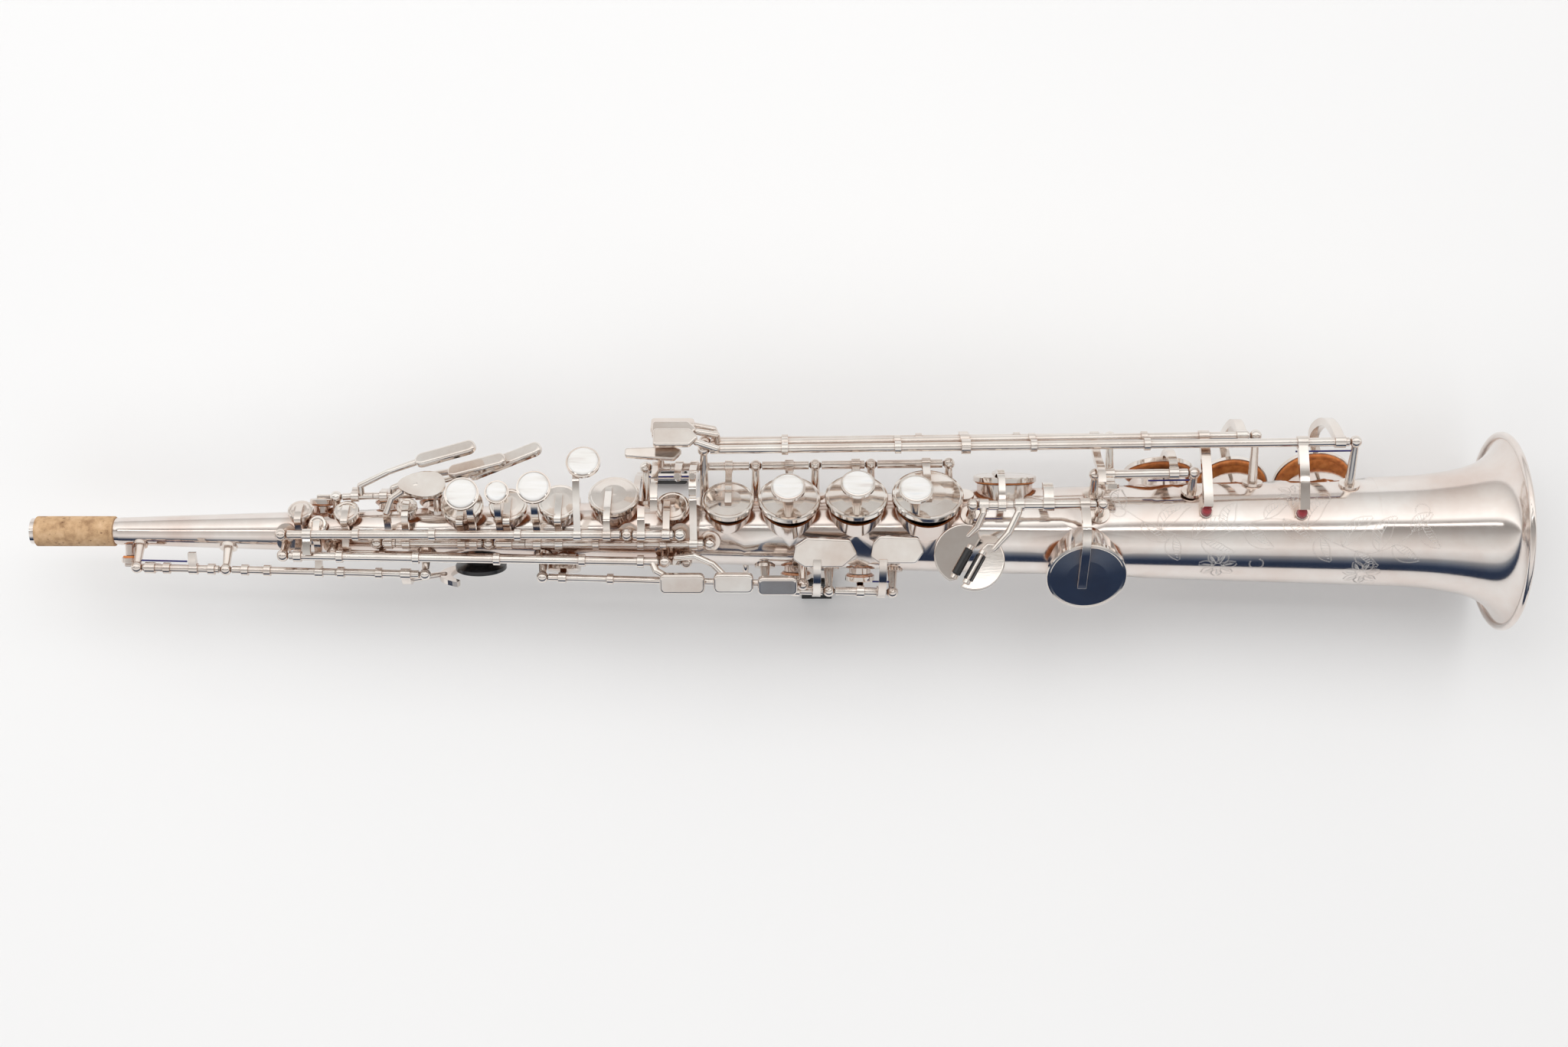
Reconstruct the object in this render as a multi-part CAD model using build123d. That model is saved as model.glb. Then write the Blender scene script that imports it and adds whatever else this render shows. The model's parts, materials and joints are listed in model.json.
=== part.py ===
"""Straight soprano saxophone, built as an assembly.

Millimetres. The bore runs along X, from the neck tip towards the bell; +Z is the side the stack
pearls face as the instrument lies on a table, and +Y is the side of the player's left hand.
Angles round the bore ("clock") start at +Z and grow towards +Y.
The model is drawn from the neck tip and moved at export, so that the frame's origin is the centre
of the mouthpiece cork.
"""

from build123d import *
from math import atan2, cos, degrees, hypot, radians, sin, sqrt
import os

os.makedirs("parts", exist_ok=True)

# ---------------------------------------------------------------- driving dimensions
LENGTH = 665.0  # neck tip to bell rim
BELL_R = 45.0  # bell rim, outside
TIP_R = 5.9  # neck tube under the cork, outside
TIP_BORE_R = 4.3
CORK_START, CORK_END, CORK_R = 2.0, 37.5, 6.8
CONE_START = 40.0
CONE_START_R = 6.2
CONE_SLOPE = 0.0324
BODY_END = 604.0  # the bell's flare is a separate piece from here
WALL = 0.8
BELL_WALL = 0.8
RIM_ROLL_R = 1.6  # rolled bead of the bell rim

TUBE_R = 1.95  # key tubes
THIN_TUBE_R = 1.6
ROD_R = 1.0  # steel hinge rods inside the key tubes
ROD_GAP = 0.05  # running clearance between rod and tube
END_GAP = 0.25  # clearance between a tube's end and its neighbour
BALL_R = 2.7  # post heads
POST_TOP_R, POST_FOOT_R = 1.5, 2.3
FLANGE_R, FLANGE_T = 4.6, 0.9
ARM_W, ARM_T = 3.0, 2.2
BOSS_R, BOSS_W = 2.75, 3.4

CHIMNEY_H = 2.6  # tone hole rims stand this far above the tube's crown
CHIMNEY_WALL = 0.9
PAD_T = 2.3
PAD_INSET = 0.6  # the pad is this much smaller than its cup
PAD_GAP = 0.25  # between a closed pad and its rim
CUP_LIP = 0.9  # how far the pad stands out of its cup
CUP_H = 3.9
HOLE_INSET = 2.6  # a tone hole is this much smaller in radius than its cup

CORK_MID = (CORK_START + CORK_END) / 2
HOME = Pos(-CORK_MID, 0, 0)


# ---------------------------------------------------------------- geometry helpers
def body_r(x):
    """Outside radius of the tube at x."""
    if x < CONE_START:
        return TIP_R + (CONE_START_R - TIP_R) * max(0.0, x - CORK_END) / (CONE_START - CORK_END)
    return CONE_START_R + CONE_SLOPE * (x - CONE_START)


def polar(x, clock, r):
    return Vector(x, r * sin(radians(clock)), r * cos(radians(clock)))


def clock_of(p):
    return degrees(atan2(p.Y, p.Z))


def facing(p, clock):
    """A plane at p whose Z axis points outward at that clock angle and whose X axis is the bore's."""
    return Plane(origin=p, x_dir=(1, 0, 0), z_dir=(0, sin(radians(clock)), cos(radians(clock))))


def rod(a, b, r):
    a, b = Vector(*a), Vector(*b)
    return Solid.make_cylinder(r, (b - a).length, Plane(origin=a, z_dir=b - a))


def cone(a, b, ra, rb):
    a, b = Vector(*a), Vector(*b)
    if abs(ra - rb) < 1e-6:
        return rod(a, b, ra)
    return Solid.make_cone(ra, rb, (b - a).length, Plane(origin=a, z_dir=b - a))


def ball(p, r):
    return Pos(*p) * Sphere(r)


def fuse(shapes):
    whole = shapes[0]
    return whole.fuse(*shapes[1:]) if len(shapes) > 1 else whole


def spun(points, plane):
    """A turned solid: points are (radius, height) round the plane's Z axis, joined by straight lines."""
    outline = Polyline(*[(r, 0, h) for r, h in points], close=True)
    return plane * revolve(make_face(outline), Axis.Z)


def blade(x, width, points, halves):
    """An arm cut from plate: it lies across the bore at x, follows the (y, z) points, and is
    twice as thick there as the matching number in halves."""
    left, right = [], []
    for i, (y, z) in enumerate(points):
        y0, z0 = points[max(0, i - 1)]
        y1, z1 = points[min(len(points) - 1, i + 1)]
        size = hypot(y1 - y0, z1 - z0)
        ny, nz = -(z1 - z0) / size, (y1 - y0) / size
        left.append((x - width / 2, y + ny * halves[i], z + nz * halves[i]))
        right.append((x - width / 2, y - ny * halves[i], z - nz * halves[i]))
    right.reverse()
    side_a = Spline(*left) if len(left) > 2 else Line(*left)
    side_b = Spline(*right) if len(right) > 2 else Line(*right)
    edges = [side_a, Line(left[-1], right[0]), side_b, Line(right[-1], left[0])]
    return extrude(Face(Wire([e.edge() for e in edges])), width, dir=(1, 0, 0))


def plate(plane, outline, thick, corner):
    """A touch piece: a rounded flat plate on the plane, outline points in the plane's X and Y."""
    face = make_face(Polyline(*outline, close=True))
    face = fillet(face.vertices(), corner)
    body = extrude(face, thick)
    body = fillet(body.faces().sort_by(Axis.Z)[-1].edges(), thick * 0.4)
    return plane * body


def lobe(plane, start, middle, end, rest, thick, corner):
    """A touch piece with one round side, an arc through three points, and straight sides back through the rest."""
    face = make_face([ThreePointArc(start, middle, end), Polyline(end, *rest, start)])
    face = fillet(face.vertices(), corner)
    body = extrude(face, thick)
    body = fillet(body.faces().sort_by(Axis.Z)[-1].edges(), thick * 0.4)
    return plane * body


# ---------------------------------------------------------------- tube and bell
def tube_outside(extra=0.0, end=BODY_END):
    return spun([(0, 0), (TIP_R + extra, 0), (TIP_R + extra, CORK_END), (CONE_START_R + extra, CONE_START),
                 (body_r(end) + extra, end), (0, end)], Plane(origin=(0, 0, 0), z_dir=(1, 0, 0)))


BORE = spun([(0, -1), (TIP_BORE_R, -1), (TIP_BORE_R, 0), (CONE_START_R - WALL, CONE_START + 5),
             (body_r(BODY_END) - WALL, BODY_END), (body_r(BODY_END) - WALL, BODY_END + 1), (0, BODY_END + 1)],
            Plane(origin=(0, 0, 0), z_dir=(1, 0, 0)))
SOLID_TUBE = tube_outside()
FLANGE_SHELL = tube_outside(FLANGE_T)


class Hole:
    """A tone hole with its drawn chimney, and the closed place of the cup and pad over it."""

    def __init__(self, x, clock, cup_r, height=CHIMNEY_H):
        self.x, self.clock, self.cup_r = x, clock, cup_r
        self.r = cup_r - HOLE_INSET
        self.rim = body_r(x) + height
        self.plane = facing(polar(x, clock, self.rim), clock)
        self.seat = facing(polar(x, clock, self.rim + PAD_GAP), clock)

    def chimney(self):
        return rod((self.x, 0, 0), polar(self.x, self.clock, self.rim), self.r + CHIMNEY_WALL)

    def drill(self):
        return rod((self.x, 0, 0), polar(self.x, self.clock, self.rim + 5), self.r)

    def across(self, u, height):
        """(y, z) of a point across the bore from the hole's middle, at a height over the closed pad."""
        v = self.rim + PAD_GAP + height
        c, s = cos(radians(self.clock)), sin(radians(self.clock))
        return (v * s + u * c, v * c - u * s)

    def top(self, lift=0.0):
        """The cup's crown."""
        return polar(self.x, self.clock, self.rim + PAD_GAP + CUP_H + lift)

    def pad(self):
        r = self.cup_r - PAD_INSET
        return spun([(0, 0), (r - 0.5, 0), (r, 0.5), (r, PAD_T), (0, PAD_T)], self.seat)

    def cup(self):
        r, inner = self.cup_r, self.cup_r - PAD_INSET
        return spun([(0, PAD_T), (inner, PAD_T), (inner, CUP_LIP), (r, CUP_LIP), (r, CUP_H - 1.0),
                     (r - 0.35, CUP_H - 0.6), (r - 1.1, CUP_H - 0.45), (r - 1.6, CUP_H - 0.6),
                     (r * 0.5, CUP_H - 0.15), (0, CUP_H)], self.seat)


PIP_R = 2.6
HOLES = {
    "neck_octave": Hole(44.0, -95, 4.1, 4.4),
    "high_e": Hole(123.2, 43, 5.7, 2.0),
    "palm_f": Hole(131.0, 88, 5.6, 2.0),
    "body_octave": Hole(131.2, 14, 4.1, 0.4),
    "side_c": Hole(144.0, 38, 5.7, 2.0),
    "palm_eb": Hole(160.0, 106, 5.8, 2.0),
    "small_c": Hole(171.3, 45, 4.65, 2.0),
    "palm_d": Hole(180.5, 114, 6.6, 2.0),
    "b": Hole(196.2, 44, 9.5),
    "bis": Hole(216.9, 42, 8.6),
    "a": Hole(239.6, 45, 9.5),
    "side_bb": Hole(240.5, -80, 7.6, 2.0),
    "g": Hole(263.8, 50, 11.4),
    "gs": Hole(290.0, 34, 7.7),
    "fs": Hole(314.9, 36, 11.5),
    "f": Hole(342.0, 37, 13.9),
    "alt_fs": Hole(345.0, -98, 7.0, 2.0),
    "e": Hole(371.8, 38, 14.0),
    "trill": Hole(374.0, -98, 6.6, 2.0),
    "d": Hole(403.3, 38, 15.9),
    "eb": Hole(439.1, 84, 14.2),
    "c": Hole(473.4, -46, 17.8),
    "cs": Hole(511.0, 117, 15.8),
    "low_b": Hole(546.5, 146, 17.4),
    "low_bb": Hole(585.0, 146, 18.4),
}


def rims_near(x, reach=12.0):
    return [h.chimney() for h in HOLES.values() if abs(h.x - x) < h.r + reach]


def make_body_tube():
    outside = fuse([SOLID_TUBE] + [h.chimney() for h in HOLES.values()])
    return outside.cut(BORE, *[h.drill() for h in HOLES.values()])


def make_bell():
    start_r = body_r(BODY_END)
    outer = [(BODY_END, start_r), (625, start_r + 1.0), (640, start_r + 3.0), (650, start_r + 5.6),
             (657, start_r + 9.4), (661.5, start_r + 14.6), (LENGTH - RIM_ROLL_R, BELL_R - RIM_ROLL_R)]
    a = Spline(*[(x, r) for x, r in outer])
    shift = []
    for i, (x, r) in enumerate(outer):
        x0, r0 = outer[max(0, i - 1)]
        x1, r1 = outer[min(len(outer) - 1, i + 1)]
        size = hypot(x1 - x0, r1 - r0)
        shift.append((x + BELL_WALL * (r1 - r0) / size if i else x, r - BELL_WALL * (x1 - x0) / size))
    shift.reverse()
    b = Spline(*shift)
    wire = Wire([a.edge(), Line(outer[-1], shift[0]).edge(), b.edge(), Line(shift[-1], outer[0]).edge()])
    flare = revolve(Face(wire), Axis.X)
    bead = Pos(LENGTH - RIM_ROLL_R, 0, 0) * Rot(0, 90, 0) * Torus(BELL_R - RIM_ROLL_R, RIM_ROLL_R)
    return flare + bead


# ---------------------------------------------------------------- racks: hinge rods between posts
def post_foot(x, clock):
    """The round foot of a post, let down over the tube's curve."""
    r = body_r(x)
    return rod(polar(x, clock, r - r * 0.25), polar(x, clock, r + FLANGE_T), min(FLANGE_R, r * 0.5))


class Rack:
    """A hinge line from one post to another, as (x, y, z) of its two ends."""

    def __init__(self, start, end, posts, tube_r=TUBE_R):
        self.start, self.end = Vector(*start), Vector(*end)
        self.posts, self.tube_r = posts, tube_r
        self.dir = (self.end - self.start).normalized()

    def at(self, x):
        return self.start + self.dir * ((x - self.start.X) / self.dir.X)

    def yz(self, x):
        p = self.at(x)
        return (p.Y, p.Z)

    def tube(self, xa, xb):
        return rod(self.at(xa), self.at(xb), self.tube_r)

    def bore(self, xa, xb):
        return rod(self.at(xa - 1), self.at(xb + 1), ROD_R + ROD_GAP)

    def boss(self, x, width=BOSS_W):
        return rod(self.at(x - width / 2), self.at(x + width / 2), self.tube_r + BOSS_R - TUBE_R)

    def steel(self):
        """The steel rod, in one length from each post head to the next."""
        inset = self.dir * (BALL_R - 0.15)
        return [rod(self.at(a) + inset, self.at(b) - inset, ROD_R) for a, b in zip(self.posts, self.posts[1:])]

    def post(self, x):
        head = self.at(x)
        clock = clock_of(head)
        foot = polar(x, clock, body_r(x) - 0.6)
        flange = post_foot(x, clock)
        whole = fuse([cone(foot, head, POST_FOOT_R, POST_TOP_R), ball(head, BALL_R), flange])
        return whole.cut(SOLID_TUBE, *rims_near(x))


RACKS = {
    "octave": Rack((49.5, -16.2, 8.5), (178.6, -19.3, 8.0), [49.5, 89.3, 178.6], 1.75),
    "front": Rack((116.5, -1.5, 19.2), (293.6, -1.5, 24.9), [116.5, 270.2, 293.6]),
    "outer": Rack((116.5, -10.8, 15.6), (286.6, -13.5, 19.0), [116.5, 286.6]),
    "under": Rack((137.5, -9.6, 9.8), (296.0, -13.8, 12.4), [137.5, 296.0], THIN_TUBE_R),
    "upper_stack": Rack((158.0, -5.2, 13.5), (306.6, -5.6, 18.3), [158.0, 208.0, 306.6]),
    "palm": Rack((138.6, 15.4, 7.5), (184.0, 16.5, 7.5), [138.6, 184.0], THIN_TUBE_R),
    "side_bb": Rack((231.5, -20.5, 10.5), (348.0, -23.6, 14.4), [231.5, 348.0], THIN_TUBE_R),
    "lower_side": Rack((331.0, -26.3, 4.0), (388.4, -27.4, 4.4), [331.0, 359.8, 388.4]),
    "lower_stack": Rack((277.5, 28.7, 6.4), (413.5, 30.4, 8.2), [277.5, 326.9, 353.6, 378.6, 413.5]),
    "right_low": Rack((422.6, 11.5, 28.0), (479.4, 11.9, 29.2), [422.6, 479.4]),
    "cs": Rack((477.7, 25.2, 18.2), (521.5, 25.9, 18.9), [477.7, 521.5]),
    "bell_a": Rack((304.0, 36.1, 21.2), (592.0, 39.6, 23.7), [304.0, 592.0]),
    "bell_b": Rack((304.0, 38.8, 14.2), (549.7, 42.6, 14.7), [304.0, 549.7]),
    "bell_c": Rack((304.0, 40.3, 7.0), (486.0, 42.2, 6.4), [304.0, 486.0]),
}

NODES = {}
JOINTS = {}


# ---------------------------------------------------------------- key building
class Key:
    """One moving key: everything is drawn with the pads down, then swung open about its rack."""

    def __init__(self, name, rack, span, open_by=0.0, small=False):
        self.name, self.rack, self.span, self.open_by, self.small = name, RACKS[rack], span, open_by, small
        self.metal = [self.rack.tube(*span)]
        self.pads = []

    def at(self, x):
        return self.rack.yz(x)

    def add(self, *shapes):
        self.metal += shapes

    def arm(self, x, points, halves, width=ARM_W):
        """A plate arm that starts on the hinge tube at x."""
        self.add(blade(x, width, [self.at(x)] + points, halves), self.rack.boss(x, width + 0.4))

    def cup(self, hole_name, side, x=None, width=ARM_W, rise=0.0, via=()):
        """Cup, pad and the arm over the cup; side is where the hinge lies, across the bore."""
        hole = HOLES[hole_name]
        x = hole.x if x is None else x
        r = hole.cup_r
        path = [hole.across(side * (r + 1.6), CUP_H + 0.4 + rise), hole.across(side * r * 0.55, CUP_H + 0.75),
                hole.across(-side * r * 0.3, CUP_H + 0.45)]
        self.arm(x, list(via) + path, [1.6] + [1.2] * len(via) + [1.3, 1.15, 0.6], width)
        self.add(hole.cup())
        self.pads.append(hole.pad())

    def under_front(self, x):
        """Where an upper-stack arm passes below the long front tube."""
        y, z = self.at(x)
        return (y + 5.4, z + 0.7)

    def limb(self, points, radii):
        """A drawn rod that bends through the points."""
        for i in range(len(points) - 1):
            self.add(cone(points[i], points[i + 1], radii[i], radii[i + 1]), ball(points[i + 1], radii[i + 1]))

    def pearl(self, x, y, z, r, clock, from_x=None, below=()):
        """A pearl touch in its metal ring, carried on an arm from the tube."""
        plane = facing(Vector(x, y, z), clock)
        ring = spun([(0, -2.6), (r * 0.55, -2.4), (r + 0.5, -1.0), (r + 0.5, 0.3), (r - 0.1, 0.3), (0, 0.3)], plane)
        dome = spun([(0, 0.3), (r - 0.1, 0.3), (r - 0.1, 0.5), (r * 0.8, 1.1), (r * 0.4, 0.8), (0, 0.7)], plane)
        self.add(ring, dome)
        c, s = cos(radians(clock)), sin(radians(clock))
        path = list(below) + [(y - 2.0 * s, z - 2.0 * c)]
        if from_x is not None:
            self.arm(from_x, path, [1.6] + [1.25] * len(below) + [1.1])

    def finish(self):
        body = fuse(self.metal)
        xa, xb = self.span
        body = body.cut(self.rack.bore(xa, xb))
        axis = Axis(self.rack.start, self.rack.dir)
        metal = [s.rotate(axis, self.open_by) for s in body.solids()]
        pads = [p.rotate(axis, self.open_by) for p in self.pads]
        if self.small:
            put(self.name, metal + pads)
        else:
            put(self.name, metal)
            if pads:
                put(self.name + "_pad", pads)


def put(name, solids):
    NODES[name] = [HOME * s for s in solids]


def side_touch(plane, length, width, thick):
    """A crowned oblong touch with softened corners."""
    body = extrude(RectangleRounded(length, width, width * 0.26), thick)
    body = fillet(body.faces().sort_by(Axis.Z)[-1].edges(), thick * 0.45)
    return plane * body


def touch_bar(plane, length, width, thick):
    """A convex finger touch with round ends."""
    body = extrude(SlotOverall(length, width), thick)
    body = fillet(body.faces().sort_by(Axis.Z)[-1].edges(), thick * 0.48)
    return plane * body


# ---------------------------------------------------------------- octave mechanism
def make_octave_keys():
    rack = RACKS["octave"]
    key = Key("neck_octave_key", "octave", (52.5, 86.2), small=True)
    hole = HOLES["neck_octave"]
    top = hole.top(-0.3)
    key.add(hole.cup(), plate(facing(top, -95), [(-2.6, -2.4), (13.0, -1.9), (13.0, 1.9), (-2.6, 2.4)], 1.5, 1.2))
    key.pads.append(hole.pad())
    key.arm(55.5, [(-16.9, 3.4), (top.Y - 0.6, top.Z)], [1.7, 1.3, 0.8], 4.0)
    key.add(rack.boss(63.0, 3.0), rack.boss(83.0, 3.0))
    key.arm(75.0, [(-13.4, 10.4), (-9.5, 11.6)], [1.6, 1.3, 1.1], 3.4)
    key.finish()

    key = Key("body_octave_key", "octave", (92.3, 138.5), small=True)
    key.cup("body_octave", -1, rise=-0.2, via=[(-13.0, 9.4), (-6.0, 11.4)])
    key.add(rack.boss(98.0, 3.0), rack.boss(108.0, 3.0))
    key.finish()

    key = Key("octave_lever", "octave", (138.8, 175.7))
    turn = facing(polar(202.0, -108, body_r(202) + 8.5), -108)
    ring = [(21.0 * cos(radians(a)) + 2.0, 21.0 * sin(radians(a)) * 0.72) for a in range(122, 238, 9)]
    ring += [(13.6 * cos(radians(a)) + 0.0, 13.6 * sin(radians(a)) * 0.92) for a in range(236, 122, -9)]
    key.add(turn * extrude(make_face(Polyline(*ring, close=True)), 2.4))
    key.arm(170.0, [(-22.6, 3.5), (-21.4, -2.0)], [1.7, 1.4, 1.1], 4.0)
    key.limb([(170.0, -21.6, -1.6), (178.0, -20.6, -4.6), (185.5, -19.4, -5.2)], [1.6, 1.5, 1.2])
    key.add(rack.boss(141.0, 3.0), rack.boss(158.0, 3.0))
    key.finish()


# ---------------------------------------------------------------- palm keys
def make_palm_keys():
    rows = [("palm_f", (141.6, 155.2), 147.2, [(150.0, 20.5, 10.0), (163.0, 26.5, 13.0), (177.0, 31.0, 18.0)],
             (176, 31.0, 19.2), (203, 38.2, 21.5)),
            ("palm_eb", (155.5, 167.5), 160.0, [(164.5, 19.4, 9.5), (178.0, 25.0, 11.0), (190.0, 26.4, 15.0)],
             (190, 26.0, 16.5), (216, 32.5, 17.5)),
            ("palm_d", (167.8, 181.0), 176.0, [(178.0, 20.5, 5.5), (190.0, 23.8, 5.5), (199.0, 25.6, 8.5)],
             (198, 25.2, 9.5), (231, 38.0, 12.0))]
    for name, span, arm_x, path, start, end in rows:
        key = Key(name, "palm", span, small=True)
        hole = HOLES[name]
        if name == "palm_f":
            top = hole.top(-0.3)
            key.add(hole.cup(), plate(facing(top, hole.clock), [(-2.4, -2.4), (18.4, -2.8), (18.4, 1.8), (-2.4, 2.4)],
                                      1.6, 1.2))
            key.arm(arm_x, [(18.6, 5.2), (top.Y + 0.6, top.Z + 1.2)], [1.6, 1.3, 0.9])
            key.pads.append(hole.pad())
        else:
            key.cup(name, -1, x=arm_x)
        first = Vector(path[0][0], *key.at(path[0][0]))
        key.limb([first] + path, [1.5, 1.5, 1.4, 1.5])
        a, b = Vector(*start), Vector(*end)
        mid = (a + b) * 0.5
        along = (b - a).normalized()
        out = Vector(0, sin(radians(38)), cos(radians(38)))
        up = (out - along * out.dot(along)).normalized()
        key.add(touch_bar(Plane(origin=mid - up * 1.4, x_dir=along, z_dir=up), (b - a).length, 7.0, 2.8))
        key.finish()


# ---------------------------------------------------------------- upper stack
def make_upper_stack():
    key = Key("front_f_key", "upper_stack", (160.9, 166.4), 0.0)
    key.arm(163.4, [key.under_front(163.4), (4.6, 17.0), (8.0, 20.4)], [1.5, 1.1, 1.2, 1.2])
    key.limb([(163.4, 8.0, 20.4), (166.0, 14.5, 22.0), (172.0, 18.6, 22.4), (177.0, 20.0, 22.4)], [1.3, 1.4, 1.6, 1.9])
    drop = [(10.5 * cos(radians(a)), 6.6 * sin(radians(a)) * (1 + 0.25 * cos(radians(a)))) for a in range(0, 360, 12)]
    body = extrude(make_face(Polyline(*drop, close=True)), 2.0)
    key.add(facing(Vector(179.5, 20.0, 22.0), 32) * body)
    key.finish()

    key = Key("b_key", "upper_stack", (166.7, 205.0), 8.0)
    key.cup("small_c", -1, via=[key.under_front(171.3)])
    key.cup("b", -1, via=[key.under_front(196.2)])
    key.pearl(198.2, 18.4, 26.6, 7.1, 28, 201.4, [key.under_front(201.4), (7.5, 21.6)])
    key.finish()

    key = Key("bis_key", "upper_stack", (211.0, 224.4), 8.0)
    key.cup("bis", -1, via=[key.under_front(216.9)])
    key.pearl(213.5, 19.0, 25.6, 4.9, 28, 213.5, [key.under_front(213.5), (7.5, 21.4)])
    key.finish()

    key = Key("a_key", "upper_stack", (224.7, 303.6), 8.0)
    key.cup("a", -1, via=[key.under_front(239.6)])
    key.pearl(229.9, 21.2, 26.8, 7.1, 28, 229.9, [key.under_front(229.9), (8.0, 22.6)])
    key.arm(299.5, [(1.0, 19.6), (9.0, 21.0), (15.0, 20.6)], [1.6, 1.3, 1.2, 1.0], 3.2)
    for x in (256.0, 276.0, 286.0):
        key.add(key.rack.boss(x, 2.8))
    key.finish()

    key = Key("g_key", "front", (119.5, 267.2), 7.0)
    key.cup("g", -1, x=261.5, rise=0.6)
    key.pearl(251.6, 31.0, 26.4, 7.1, 34, 248.5, [(8.0, 26.4), (20.0, 28.2)])
    key.add(cone((248.5, 26.5, 26.6), (251.6, 29.9, 25.0), 1.5, 1.8))
    key.arm(128.2, [(-6.5, 21.2), (-10.4, 21.6)], [1.6, 1.3, 1.1], 3.4)
    for x in (150.0, 184.0, 222.0):
        key.add(key.rack.boss(x, 2.8))
    key.finish()


# ---------------------------------------------------------------- G sharp and its lever
def make_g_sharp():
    key = Key("gs_key", "front", (273.2, 290.6))
    key.cup("gs", -1, x=287.6)
    key.arm(276.6, [(5.0, 25.8), (10.0, 24.6)], [1.6, 1.3, 1.0], 3.2)
    key.finish()

    key = Key("gs_lever", "lower_stack", (280.5, 288.6))
    key.arm(282.4, [(24.5, 20.0), (18.0, 27.4), (9.0, 28.6)], [1.6, 1.3, 1.3, 1.0], 3.2)
    key.limb([(284.5, 28.9, 6.6), (284.5, 33.0, 12.0), (282.0, 35.0, 19.0)], [1.5, 1.5, 1.5])
    key.add(plate(facing(Vector(281.0, 34.8, 19.0), 24),
                  [(-12.0, -2.6), (10.0, -4.2), (14.0, 0.5), (10.0, 2.4), (-12.0, 1.6)], 2.2, 1.4))
    key.finish()


# ---------------------------------------------------------------- lower stack
def make_lower_stack():
    key = Key("fs_key", "lower_stack", (288.9, 323.9), -8.0)
    key.cup("fs", 1)
    key.arm(299.5, [(26.0, 18.0), (20.7, 27.2), (12.5, 28.8)], [1.6, 1.4, 1.4, 1.0], 3.2)
    key.add(rod((299.5, 20.7, 26.0), (299.5, 20.7, 31.2), 1.5))
    key.arm(292.8, [(26.0, 18.0), (21.0, 25.4)], [1.6, 1.4, 1.2], 3.2)
    key.add(rod((292.8, 20.9, 23.4), (292.8, 20.9, 29.2), 1.5))
    key.finish()

    rows = [("f", (329.8, 350.7), (341.5, 16.0, 30.4)), ("e", (356.5, 375.7), (372.0, 17.4, 31.4)),
            ("d", (381.5, 410.6), (397.3, 14.8, 33.4))]
    for name, span, (x, y, z) in rows:
        key = Key(name + "_key", "lower_stack", span, -8.0)
        key.cup(name, 1, width=3.4)
        base = HOLES[name].top(0.2)
        key.pearl(x, y, z, 7.1, 30)
        key.add(cone((x, base.Y, base.Z + 0.6), (x, y - 1.0, z - 2.0), 2.6, 2.0))
        key.finish()


# ---------------------------------------------------------------- side keys of the right hand
def make_side_keys():
    key = Key("high_e_key", "outer", (119.5, 283.6), small=True)
    key.cup("high_e", -1, rise=-0.4, via=[(-6.0, 13.4), (0.6, 13.2)])
    key.limb([(281.0, *key.at(281.0)), (283.0, -17.6, 20.6), (290.0, -21.5, 20.6)], [1.7, 1.6, 1.6])
    key.add(side_touch(facing(Vector(294.5, -22.6, 19.6), -24), 20.0, 9.4, 2.8))
    for x in (142.0, 176.0, 212.0, 250.0, 276.0):
        key.add(key.rack.boss(x, 2.8))
    key.finish()

    key = Key("side_c_key", "under", (140.5, 293.0), small=True)
    key.cup("side_c", -1, rise=-0.4, via=[(-4.0, 12.6), (1.0, 13.6)])
    key.limb([(290.6, *key.at(290.6)), (291.5, -11.8, 17.8), (300.0, -11.0, 20.2), (308.0, -14.5, 20.8),
              (312.5, -19.0, 20.4)],
             [1.5, 1.5, 1.5, 1.5, 1.5])
    key.add(side_touch(facing(Vector(317.2, -22.4, 19.6), -24), 17.6, 9.4, 2.8))
    for x in (160.0, 200.0, 245.0, 284.0):
        key.add(key.rack.boss(x, 2.8))
    key.finish()

    key = Key("side_bb_key", "side_bb", (234.3, 345.1))
    hole = HOLES["side_bb"]
    top = hole.top(-0.3)
    key.add(hole.cup())
    key.pads.append(hole.pad())
    key.arm(240.5, [(top.Y - 1.6, top.Z + 4.6), (top.Y - 0.2, top.Z), hole.across(-4.5, CUP_H)],
            [1.4, 1.3, 1.2, 0.7])
    key.arm(337.5, [(-24.4, 19.6)], [1.7, 1.4], 6.0)
    key.add(side_touch(facing(Vector(336.8, -23.4, 19.4), -30), 17.6, 9.0, 2.8))
    for x in (262.0, 300.0, 322.0):
        key.add(key.rack.boss(x, 2.8))
    key.finish()

    rows = [("alt_fs", (333.8, 356.9), 354.2, (357.5, -8.8, 27.6),
             [(-14, -3.5), (-9, -6.8), (8, -6.8), (14.5, -1.0), (11, 5.8), (-8, 6.6), (-13, 3.0)]),
            ("trill", (362.7, 385.5), 383.2, (389.6, -7.6, 28.6),
             [(-12, -3.5), (-8, -6.4), (8, -6.4), (11.5, -1.0), (9, 5.6), (-8, 6.2), (-11, 3.0)])]
    for name, span, arm_x, (x, y, z), outline in rows:
        key = Key(name + "_key", "lower_side", span, small=True)
        hole = HOLES[name]
        key.add(hole.cup())
        key.pads.append(hole.pad())
        top = hole.top(0.5)
        key.arm(hole.x, [(top.Y - 1.4, top.Z + 2.4), (top.Y, top.Z), hole.across(-4.0, CUP_H)], [1.6, 1.3, 1.1, 0.6])
        key.arm(arm_x, [(-27.0, 14.0), (-21.0, 23.5), (-12.0, z)], [1.7, 1.5, 1.4, 0.9], 3.4)
        key.add(plate(facing(Vector(x, y, z - 0.6), -14), outline, 2.2, 2.0))
        key.finish()


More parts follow.
